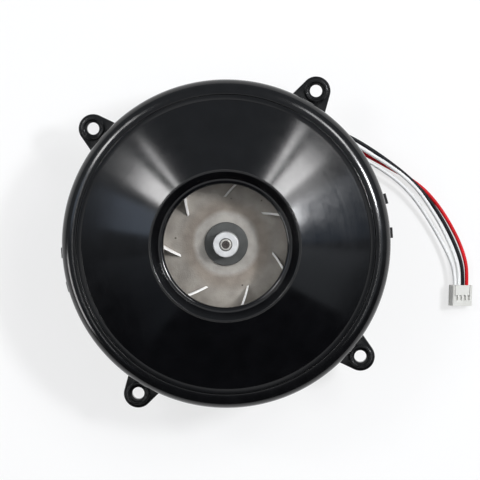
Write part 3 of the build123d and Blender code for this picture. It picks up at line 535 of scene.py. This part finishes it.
@dataclass
class Lathe:
    """Turned solid: an outline of radius, height and corner radius in millimetres, spun about the shaft."""

    name: str
    corners: list[Corner]
    steps: int = 288
    arc_steps: int = 6
    weld: float = 0.001

    def outline(self) -> list[Vector]:
        """The outline with its corners rounded.

        Returns:
            Points of (radius, height) in metres.
        """
        points = []
        count = len(self.corners)
        for index, (radius, height, rounding) in enumerate(self.corners):
            here = Vector((radius, height))
            before = (Vector(self.corners[index - 1][:2]) - here).normalized()
            after = (Vector(self.corners[(index + 1) % count][:2]) - here).normalized()
            if rounding <= 0:
                points.append(here * MM)
                continue
            half = before.angle(after) / 2
            reach = rounding / math.tan(half)
            centre = here + (before + after).normalized() * (rounding / math.sin(half))
            start = (here + before * reach) - centre
            sweep = start.angle_signed((here + after * reach) - centre)
            for step in range(self.arc_steps + 1):
                turned = start.copy()
                turned.rotate(Matrix.Rotation(-sweep * step / self.arc_steps, 2))
                points.append((centre + turned) * MM)
        return points

    def mesh(self) -> bpy.types.Mesh:
        """Spins the outline into a closed mesh.

        Returns:
            The mesh, in the row frame.
        """
        work = bmesh.new()
        outline = self.outline()
        rings = []
        for step in range(self.steps):
            angle = math.tau * step / self.steps
            side = Vector((math.cos(angle), math.sin(angle)))
            rings.append([work.verts.new((side.x * p.x, side.y * p.x, p.y)) for p in outline])
        for step, ring in enumerate(rings):
            follower = rings[(step + 1) % self.steps]
            for index in range(len(outline)):
                after = (index + 1) % len(outline)
                work.faces.new((ring[index], follower[index], follower[after], ring[after]))
        bmesh.ops.remove_doubles(work, verts=work.verts, dist=self.weld * MM)
        return mesh_of(work, self.name)


@dataclass
class InletCover:
    """Conical inlet cover, in millimetres: raised lip, throat, cone, flat band and skirt."""

    throat_r: float = 26.7
    wall: float = 2.3
    shelf_w: float = 2.2
    lip_run: float = 3.0
    lip_rise: float = 3.4
    crest_w: float = 0.7
    step_w: float = 0.35
    step_h: float = 0.6
    slope: float = 22.0
    band_r: float = 65.2
    band_w: float = 2.15
    band_step: float = 0.4
    band_t: float = 2.0
    seat_w: float = 2.3
    skirt_t: float = 1.6
    throat_round: float = 1.5
    tube_share: float = 1.565
    under_w: float = 0.9
    edge: float = 0.18
    band_round: float = 0.27
    crest_round: float = 0.288
    sharp: float = 24.0

    def corners(self) -> list[Corner]:
        """The cover's outline, worked down from the lip.

        Returns:
            Corners of (radius, height, rounding) in millimetres.
        """
        low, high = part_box("inlet_cover")
        lip_z, skirt_z = high.z / MM, low.z / MM
        shelf_r = self.throat_r + self.shelf_w
        shelf_z = lip_z - self.lip_rise
        crest_r = shelf_r + self.lip_run
        cone_r = crest_r + self.crest_w + self.step_w
        cone_z = lip_z - self.step_h
        fall = math.tan(math.radians(self.slope))
        wall_h = self.wall / math.cos(math.radians(self.slope))
        band_in = self.band_r - self.band_w
        end_r = band_in - self.edge
        end_z = cone_z - (end_r - cone_r) * fall
        band_z = end_z - self.band_step
        skirt_r = self.band_r - self.seat_w
        skirt_in = skirt_r - self.skirt_t
        under_r = cone_r + self.under_w
        tube_r, tube_z = self.throat_r + self.wall, shelf_z - self.wall * self.tube_share
        return [
            (self.throat_r, tube_z, self.edge), (tube_r, tube_z, self.edge),
            (tube_r, shelf_z - self.wall, 0), (shelf_r + self.wall, shelf_z - self.wall, 0),
            (under_r, cone_z - (under_r - cone_r) * fall - wall_h, 0),
            (skirt_in, cone_z - (skirt_in - cone_r) * fall - wall_h, 0),
            (skirt_in, skirt_z, self.edge), (skirt_r, skirt_z, self.edge), (skirt_r, band_z - self.band_t, 0),
            (self.band_r, band_z - self.band_t, self.edge), (self.band_r, band_z, self.band_round),
            (band_in, band_z, 0), (end_r, end_z, self.edge), (cone_r, cone_z, 0),
            (crest_r + self.crest_w, lip_z, self.edge), (crest_r, lip_z, self.crest_round),
            (shelf_r, shelf_z, self.edge), (self.throat_r, shelf_z, self.throat_round),
        ]

    def build(self) -> bpy.types.Object:
        """Makes the cover in place of its CAD node.

        Returns:
            The cover.
        """
        mesh = Lathe("inlet_cover_shell", self.corners()).mesh()
        smooth_by_angle(mesh, self.sharp)
        cover = make_piece("inlet_cover_shell", mesh, "black_gloss", HOUSING)
        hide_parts("inlet_cover")
        return cover


@dataclass
class HousingRing:
    """Outer housing ring, in millimetres: rounded shoulder, ledge, wall, four ears and the lug windows."""

    outer_r: float = 72.0
    wall: float = 2.2
    shoulder_r: float = 6.15
    open_r: float = 65.5
    ledge_r: float = 63.2
    ledge_t: float = 1.8
    ledge_down: float = 2.7
    ledge_root: float = 1.5
    step_t: float = 0.6
    step_up: float = 10.0
    edge: float = 0.3
    open_edge: float = 0.1
    foot_edge: float = 0.6
    ear_place_r: float = 78.0
    ear_turns: tuple[float, ...] = (50.0, 130.0, 230.0, 310.0)
    ear_round_r: float = 6.4
    ear_taper: float = 15.0
    ear_up: float = 1.0
    ear_t: float = 5.0
    ear_root: float = 1.32
    ear_steps: int = 40
    hole_r: float = 2.7
    sink_r: float = 3.85
    sink_h: float = 1.8
    collar_r: float = 5.0
    collar_h: float = 1.2
    lug_turns: tuple[float, ...] = (-6.0, 6.0, 174.0, 186.0)
    window_w: float = 5.0
    window_h: float = 4.4
    window_top: float = 8.2
    window_reach: float = 3.3
    sharp: float = 28.0

    def ring(self) -> bpy.types.Mesh:
        """Spins the turned part of the housing.

        Returns:
            Its mesh, in the row frame.
        """
        low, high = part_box("fan_housing")
        top, bottom = high.z / MM, low.z / MM
        inner = self.outer_r - self.wall
        upper = inner - self.step_t
        root = self.open_r + self.ledge_root
        ledge_z = top - self.ledge_down
        under = ledge_z - self.ledge_t
        step_z = bottom + self.step_up
        return Lathe("housing_ring", [
            (self.open_r, top, self.open_edge), (self.outer_r, top, self.shoulder_r),
            (self.outer_r, bottom, self.foot_edge), (inner, bottom, self.edge), (inner, step_z, 0),
            (upper, step_z, self.edge), (upper, under - upper + root, self.edge), (root, under, self.edge),
            (self.ledge_r, under, self.edge), (self.ledge_r, ledge_z, self.edge), (self.open_r, ledge_z, 0),
        ], arc_steps=10).mesh()

    def ear(self, turn: float) -> bpy.types.Mesh:
        """One ear: a tapered tongue with a collar and a sunk hole, its edges softened.

        Args:
            turn: Its angle about the shaft, in degrees.

        Returns:
            The ear's mesh, in the row frame.
        """
        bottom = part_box("fan_housing")[0].z / MM + self.ear_up
        top = bottom + self.ear_t
        crest = top + self.collar_h
        taper = math.radians(self.ear_taper)
        root_x = self.outer_r - self.ear_root
        tangent_x = self.ear_place_r + self.ear_round_r * math.sin(taper)
        tangent_y = self.ear_round_r * math.cos(taper)
        root_y = tangent_y + (tangent_x - root_x) * math.tan(taper)
        outline = [(root_x, root_y), (root_x, -root_y)]
        for step in range(self.ear_steps + 1):
            angle = -(math.pi / 2 - taper) + (math.pi - 2 * taper) * step / self.ear_steps
            outline.append((
                self.ear_place_r + self.ear_round_r * math.cos(angle), self.ear_round_r * math.sin(angle),
            ))
        tongue = prism("tongue", outline, bottom, top)
        centre = (self.ear_place_r, 0.0)
        ear = combined(tongue, [rod("collar", centre, self.collar_r, top - self.edge, crest)], "UNION")
        cutters = [
            rod("hole", centre, self.hole_r, bottom - self.wall, crest + self.wall),
            rod("sink", centre, self.sink_r, crest - self.sink_h, crest + self.wall),
        ]
        ear = combined(ear, cutters, "DIFFERENCE")
        ear = softened(ear, self.edge, segments=3)
        ear.transform(Matrix.Rotation(math.radians(turn), 4, "Z"))
        return ear

    def window(self, turn: float) -> bpy.types.Mesh:
        """Cutter of the window for one snap lug.

        Args:
            turn: The lug's angle about the shaft, in degrees.

        Returns:
            The cutter's mesh.
        """
        half = self.window_w / 2
        inner, outer = self.outer_r - self.window_reach, self.outer_r + self.wall
        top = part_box("fan_housing")[0].z / MM + self.window_top
        bottom = top - self.window_h
        outline = [(inner, -half), (outer, -half), (outer, half), (inner, half)]
        cutter = prism("window", outline, bottom, top)
        cutter.transform(Matrix.Rotation(math.radians(turn), 4, "Z"))
        return cutter

    def build(self) -> bpy.types.Object:
        """Makes the housing in place of its CAD node.

        Returns:
            The housing.
        """
        mesh = combined(self.ring(), [self.ear(turn) for turn in self.ear_turns], "UNION")
        mesh = combined(mesh, [self.window(turn) for turn in self.lug_turns], "DIFFERENCE")
        smooth_by_angle(mesh, self.sharp)
        housing = make_piece("fan_housing_shell", mesh, "black_gloss", HOUSING)
        housing.data.materials[0] = bpy.data.materials[finish_name("housing_gloss")]
        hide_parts("fan_housing")
        return housing


def prism(name: str, outline: list[tuple[float, float]], low: float, high: float) -> bpy.types.Mesh:
    """Solid of a flat outline between two heights, all in millimetres.

    Args:
        name: The mesh's name.
        outline: Its corners in order.
        low: Its lower height.
        high: Its upper height.

    Returns:
        The mesh.
    """
    work = bmesh.new()
    floor = [work.verts.new((x * MM, y * MM, low * MM)) for x, y in outline]
    roof = [work.verts.new((x * MM, y * MM, high * MM)) for x, y in outline]
    work.faces.new(floor)
    work.faces.new(roof)
    for index in range(len(outline)):
        after = (index + 1) % len(outline)
        work.faces.new((floor[index], floor[after], roof[after], roof[index]))
    return mesh_of(work, name)


def rod(
    name: str, centre: tuple[float, float], radius: float, low: float, high: float, sides: int = 64,
) -> bpy.types.Mesh:
    """Upright round solid, all in millimetres.

    Args:
        name: The mesh's name.
        centre: Its axis.
        radius: Its radius.
        low: Its lower height.
        high: Its upper height.
        sides: Flats round it.

    Returns:
        The mesh.
    """
    turns = [math.tau * step / sides for step in range(sides)]
    outline = [(centre[0] + radius * math.cos(turn), centre[1] + radius * math.sin(turn)) for turn in turns]
    return prism(name, outline, low, high)


def softened(mesh: bpy.types.Mesh, width: float, segments: int, sharp: float = 40.0) -> bpy.types.Mesh:
    """Rounds a mesh's sharp edges.

    Args:
        mesh: The mesh.
        width: The rounding's width in millimetres.
        segments: Its steps.
        sharp: Edges that turn by more degrees than this are rounded.

    Returns:
        The rounded mesh.
    """
    holder = bpy.data.objects.new("holder", mesh)
    bpy.context.scene.collection.objects.link(holder)
    bevel = holder.modifiers.new("bevel", "BEVEL")
    bevel.width, bevel.segments = width * MM, segments
    bevel.limit_method, bevel.angle_limit = "ANGLE", math.radians(sharp)
    result = applied(holder)
    bpy.data.objects.remove(holder)
    return result


@dataclass
class CadDresser:
    """Dresses CAD nodes whose shape is right: finish from the record or its own, and softened edges."""

    edges: dict[str, float] = field(default_factory=dict)
    own: dict[str, str] = field(default_factory=dict)
    sharp: float = 32.0
    segments: int = 2
    weld: float = 0.002

    def soften(self, node: bpy.types.Object, width: float) -> None:
        """Rounds a node's sharp edges with modifiers, its own mesh left as it is.

        Args:
            node: The CAD node.
            width: The rounding's width in millimetres.
        """
        weld = node.modifiers.new("weld", "WELD")
        weld.merge_threshold = self.weld * MM
        bevel = node.modifiers.new("bevel", "BEVEL")
        bevel.width, bevel.segments = width * MM, self.segments
        bevel.limit_method, bevel.angle_limit = "ANGLE", math.radians(self.sharp)
        bevel.harden_normals = True
        bevel.use_clamp_overlap = True

    def dress(self) -> int:
        """Gives every node its slot's finish.

        Returns:
            How many nodes were dressed.
        """
        slots = {part["node"]: part["material_slot"] for part in frame["record"]["subparts"]}
        for name, node in frame["nodes"].items():
            node.data.materials.clear()
            node.data.materials.append(bpy.data.materials[finish_name(self.own.get(name, slots[name]))])
            if name in self.edges:
                self.soften(node, self.edges[name])
        return len(frame["nodes"])


# Widths of the softened edges in millimetres, and finishes other than the record's
EDGES = {
    "fan_blades": 0.08, "fan_backplate": 0.2, "fan_shroud": 0.2, "connector_housing": 0.12,
    "rear_cover": 0.3, "motor_carrier": 0.2, "lead_grommet": 0.3, "clamp_washer": 0.08,
    "clamp_collar": 0.08, "shaft": 0.12,
}
# fan_blades takes a paler, less metallic copy of the fan sheet as a painted highlight on the blade tops.
OWN_FINISHES = {"fan_blades": "blade_sheet_painted_highlight", "shaft": "shaft_steel_painted_reflection"}


@dataclass
class Lead:
    """One lead: its route's control points in metres, from the grommet to the connector."""

    name: str
    slot: str
    length: float
    points: tuple[Corner, ...]
    diameter: float = 0.0017
    tube_steps: int = 6
    bend_steps: int = 12

    def build(self) -> bpy.types.Object:
        """Makes the lead as one smooth tube in place of its CAD node.

        Returns:
            The lead.
        """
        curve = bpy.data.curves.new(self.name + "_jacket", "CURVE")
        curve.dimensions = "3D"
        curve.bevel_depth, curve.bevel_resolution = self.diameter / 2, self.tube_steps
        curve.use_fill_caps = True
        spline = curve.splines.new("NURBS")
        spline.points.add(len(self.points) - 1)
        for point, place in zip(spline.points, self.points):
            point.co = (*place, 1.0)
        spline.order_u = 3
        spline.use_endpoint_u = True
        spline.resolution_u = self.bend_steps
        lead = bpy.data.objects.new(self.name + "_jacket", curve)
        bpy.context.scene.collection.objects.link(lead)
        curve.materials.append(bpy.data.materials[finish_name(self.slot)])
        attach(lead, HOUSING)
        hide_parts(self.name)
        return lead


LEADS = (
    Lead("lead_black", "lead_black", 0.117, (
        (0.037790, 0.036798, 0.0112), (0.0422, 0.0405, 0.0112), (0.0490, 0.0426, 0.0110),
        (0.0568, 0.0408, 0.0104), (0.0642, 0.0356, 0.0095), (0.0709, 0.0298, 0.0082),
        (0.0773, 0.0236, 0.0063), (0.0839, 0.0166, 0.0045), (0.0897, 0.0090, 0.0034),
        (0.0944, 0.0006, 0.0026), (0.0983, -0.0086, 0.0022), (0.1012, -0.0182, 0.0025),
        (0.1027, -0.0262, 0.0033), (0.10276, -0.03237, 0.0038), (0.101750, -0.037775, 0.003801),
    )),
    Lead("lead_white_outer", "lead_white", 0.112, (
        (0.039461, 0.034807, 0.0112), (0.0438, 0.0385, 0.0113), (0.0506, 0.0402, 0.0116),
        (0.0582, 0.0377, 0.0115), (0.0652, 0.0323, 0.0108), (0.0714, 0.0269, 0.0098),
        (0.0773, 0.0217, 0.0084), (0.0834, 0.0156, 0.0070), (0.0886, 0.0085, 0.0056),
        (0.0924, 0.0008, 0.0045), (0.0959, -0.0077, 0.0037), (0.0989, -0.0174, 0.0035),
        (0.1006, -0.0254, 0.0040), (0.10093, -0.03202, 0.0046), (0.099950, -0.037425, 0.004599),
    )),
    Lead("lead_red", "lead_red", 0.112, (
        (0.041132, 0.032815, 0.0112), (0.0455, 0.0364, 0.0111), (0.0522, 0.0374, 0.0106),
        (0.0599, 0.0340, 0.0095), (0.0668, 0.0287, 0.0079), (0.0730, 0.0240, 0.0060),
        (0.0795, 0.0189, 0.0039), (0.0863, 0.0137, 0.0021), (0.0924, 0.0072, 0.0013),
        (0.0973, -0.0012, 0.0012), (0.1012, -0.0106, 0.0012), (0.1039, -0.0198, 0.0016),
        (0.1049, -0.0272, 0.0024), (0.10459, -0.03272, 0.0030), (0.103550, -0.038125, 0.003004),
    )),
    Lead("lead_white_inner", "lead_white", 0.102, (
        (0.042804, 0.030823, 0.0112), (0.0472, 0.0344, 0.0112), (0.0538, 0.0346, 0.0110),
        (0.0612, 0.0309, 0.0104), (0.0678, 0.0256, 0.0094), (0.0739, 0.0203, 0.0081),
        (0.0795, 0.0148, 0.0068), (0.0843, 0.0086, 0.0056), (0.0881, 0.0017, 0.0046),
        (0.0916, -0.0062, 0.0039), (0.0949, -0.0148, 0.0038), (0.0977, -0.0232, 0.0046),
        (0.09910, -0.03167, 0.0054), (0.098150, -0.037075, 0.005396),
    )),
)


UPWARDS = (0.0, 1.0, 0.0)


def to_frame(place: Corner) -> Vector:
    """Turns a place in the photograph's directions into the row frame."""
    return Matrix.Rotation(-VIEW_ROLL, 3, "Z") @ Vector(place)


@dataclass(frozen=True)
class Softbox:
    """Flat soft light that faces the object, turned counter-clockwise from the photograph's right."""

    name: str
    turn: float
    rise: float
    size: tuple[float, float]
    power: float
    colour: Colour = WHITE
    away: float = 1.3

    def build(self) -> bpy.types.Object:
        """Makes the light.

        Returns:
            The light.
        """
        data = bpy.data.lights.new(self.name, "AREA")
        data.shape, data.energy, data.color = "RECTANGLE", self.power, self.colour
        data.size, data.size_y = self.size
        lamp = bpy.data.objects.new(self.name, data)
        bpy.context.scene.collection.objects.link(lamp)
        turn, rise = math.radians(self.turn), math.radians(self.rise)
        flat = math.cos(rise) * self.away
        place = to_frame((flat * math.cos(turn), flat * math.sin(turn), math.sin(rise) * self.away))
        lamp.location = place
        lamp.rotation_euler = place.to_track_quat("Z", "Y").to_euler()
        return lamp


SOFTBOXES = (
    Softbox("key_right", 20.0, 52.5, (0.2, 0.15), 12.0, (0.97, 0.98, 1.0)),
    Softbox("softbox_right", 44.5, 49.8, (0.19, 0.28), 2.5),
    Softbox("wing_right", 33.0, 50.0, (0.26, 0.27), 0.95),
    Softbox("strip_right", 56.5, 49.0, (0.06, 0.34), 0.9),
    Softbox("softbox_left", 145.5, 49.3, (0.2, 0.3), 3.2),
    Softbox("strip_left", 132.5, 49.0, (0.05, 0.34), 0.7),
    Softbox("window_left", 167.0, 48.0, (0.3, 0.34), 0.5, (0.65, 0.78, 1.0)),
    Softbox("panel_low_left", 212.0, 48.0, (0.75, 0.34), 0.15, (0.75, 0.85, 1.0)),
    Softbox("panel_low_right", 340.0, 48.0, (0.5, 0.34), 0.25, (0.85, 0.92, 1.0)),
    Softbox("ridge_left", 184.0, 62.0, (1.1, 0.04), 1.1),
    Softbox("ridge_right", 0.0, 62.0, (1.0, 0.04), 0.9),
    Softbox("fill_left", 200.0, 18.0, (0.6, 0.3), 4.5),
    Softbox("window_right", 14.0, 48.0, (0.5, 0.34), 0.2, (0.45, 0.65, 1.0)),
    Softbox("overhead", 242.0, 87.0, (0.4, 0.4), 0.28, away=1.4),
)


@dataclass
class Studio:
    """Floor, camera, room and lights. Places are in the photograph's directions, in metres from the shaft."""

    eye: Corner = (0.02404, 0.0460, 1.064)
    aim: Corner = (0.00644, 0.00265, 0.064)
    lens: float = 174.9
    floor_size: float = 6.0
    floor_drop: float = 0.0002
    floor_lift: float = 0.76
    floor_glow: float = 0.94
    room_low: float = -0.45
    room_high: float = 0.25
    room_dark: float = 0.03
    room_bright: float = 0.34
    room_tint: Colour = (0.86, 0.93, 1.0)
    backdrop: Colour = (0.97, 0.97, 0.98)

    def camera(self) -> bpy.types.Object:
        """Makes the camera at the photograph's place.

        Returns:
            The camera.
        """
        data = bpy.data.cameras.new("camera")
        data.lens, data.sensor_width = self.lens, 36.0
        data.clip_start, data.clip_end = 0.01, 20.0
        camera = bpy.data.objects.new("camera", data)
        bpy.context.scene.collection.objects.link(camera)
        eye = to_frame(self.eye)
        back = (eye - to_frame(self.aim)).normalized()
        right = to_frame(UPWARDS).cross(back).normalized()
        up = back.cross(right)
        camera.matrix_world = Matrix.Translation(eye) @ Matrix((right, up, back)).transposed().to_4x4()
        bpy.context.scene.camera = camera
        return camera

    def floor(self) -> None:
        """Adds the pale floor."""
        half, low = self.floor_size / 2, -self.floor_drop
        work = bmesh.new()
        corners = [(-half, -half), (half, -half), (half, half), (-half, half)]
        work.faces.new([work.verts.new((x, y, low)) for x, y in corners])
        mesh = bpy.data.meshes.new("floor")
        work.to_mesh(mesh)
        work.free()
        floor = bpy.data.objects.new("floor", mesh)
        bpy.context.scene.collection.objects.link(floor)
        paper = Finish(
            "floor_paper", (0.88, 0.88, 0.885), (0.9, 0.9, 0.905), rough_low=0.7, rough_high=0.85,
            scale=60.0, relief=0.02, specular=0.2,
        ).build()
        mesh.materials.append(paper)
        self.lift(paper)

    def lift(self, paper: bpy.types.Material) -> None:
        """Lightens the floor's shadows where the camera or a polished face sees them.

        Args:
            paper: The floor's material.
        """
        tree = paper.node_tree
        path = tree.nodes.new("ShaderNodeLightPath")
        seen = tree.nodes.new("ShaderNodeMath")
        seen.operation = "MAXIMUM"
        share = tree.nodes.new("ShaderNodeMath")
        share.operation = "MULTIPLY"
        share.inputs[1].default_value = self.floor_lift
        glow = tree.nodes.new("ShaderNodeEmission")
        glow.inputs["Color"].default_value = (*WHITE, 1.0)
        glow.inputs["Strength"].default_value = self.floor_glow
        mix = tree.nodes.new("ShaderNodeMixShader")
        tree.links.new(path.outputs["Is Camera Ray"], seen.inputs[0])
        tree.links.new(path.outputs["Is Glossy Ray"], seen.inputs[1])
        tree.links.new(seen.outputs[0], share.inputs[0])
        tree.links.new(share.outputs[0], mix.inputs["Fac"])
        tree.links.new(tree.nodes["Principled BSDF"].outputs[0], mix.inputs[1])
        tree.links.new(glow.outputs[0], mix.inputs[2])
        tree.links.new(mix.outputs[0], tree.nodes["Material Output"].inputs["Surface"])

    def room(self) -> None:
        """Lights the room, brighter beyond the photograph's top than below it, with a white backdrop."""
        world = bpy.data.worlds.new("room")
        world.use_nodes = True
        bpy.context.scene.world = world
        tree = world.node_tree
        place = tree.nodes.new("ShaderNodeTexCoord")
        along = tree.nodes.new("ShaderNodeVectorMath")
        along.operation = "DOT_PRODUCT"
        along.inputs[1].default_value = to_frame(UPWARDS)
        spread = tree.nodes.new("ShaderNodeMapRange")
        spread.interpolation_type = "SMOOTHSTEP"
        spread.inputs["From Min"].default_value = self.room_low
        spread.inputs["From Max"].default_value = self.room_high
        spread.inputs["To Min"].default_value = self.room_dark
        spread.inputs["To Max"].default_value = self.room_bright
        room = tree.nodes["Background"]
        room.inputs["Color"].default_value = (*self.room_tint, 1.0)
        white = tree.nodes.new("ShaderNodeBackground")
        white.inputs["Color"].default_value = (*self.backdrop, 1.0)
        path = tree.nodes.new("ShaderNodeLightPath")
        mix = tree.nodes.new("ShaderNodeMixShader")
        tree.links.new(place.outputs["Generated"], along.inputs[0])
        tree.links.new(along.outputs["Value"], spread.inputs["Value"])
        tree.links.new(spread.outputs["Result"], room.inputs["Strength"])
        tree.links.new(path.outputs["Is Camera Ray"], mix.inputs["Fac"])
        tree.links.new(room.outputs[0], mix.inputs[1])
        tree.links.new(white.outputs[0], mix.inputs[2])
        tree.links.new(mix.outputs[0], tree.nodes["World Output"].inputs["Surface"])

    def build(self) -> None:
        """Makes the whole studio."""
        self.camera()
        self.floor()
        self.room()
        for softbox in SOFTBOXES:
            softbox.build()


def main() -> None:
    """Builds the finishes, studio and pieces in order."""
    logging.basicConfig(level=logging.INFO, format="%(name)s: %(message)s")
    bpy.context.scene.view_settings.view_transform = "Standard"
    for finish in FINISHES:
        finish.build()
    LOG.info("finishes: %d", len(FINISHES))
    Studio().build()
    LOG.info("nodes dressed: %d", CadDresser(EDGES, OWN_FINISHES).dress())
    LOG.info("cover: %s", InletCover().build().name)
    LOG.info("housing: %s", HousingRing().build().name)
    for lead in LEADS:
        LOG.info("lead: %s", lead.build().name)


if __name__ == "__main__":
    main()
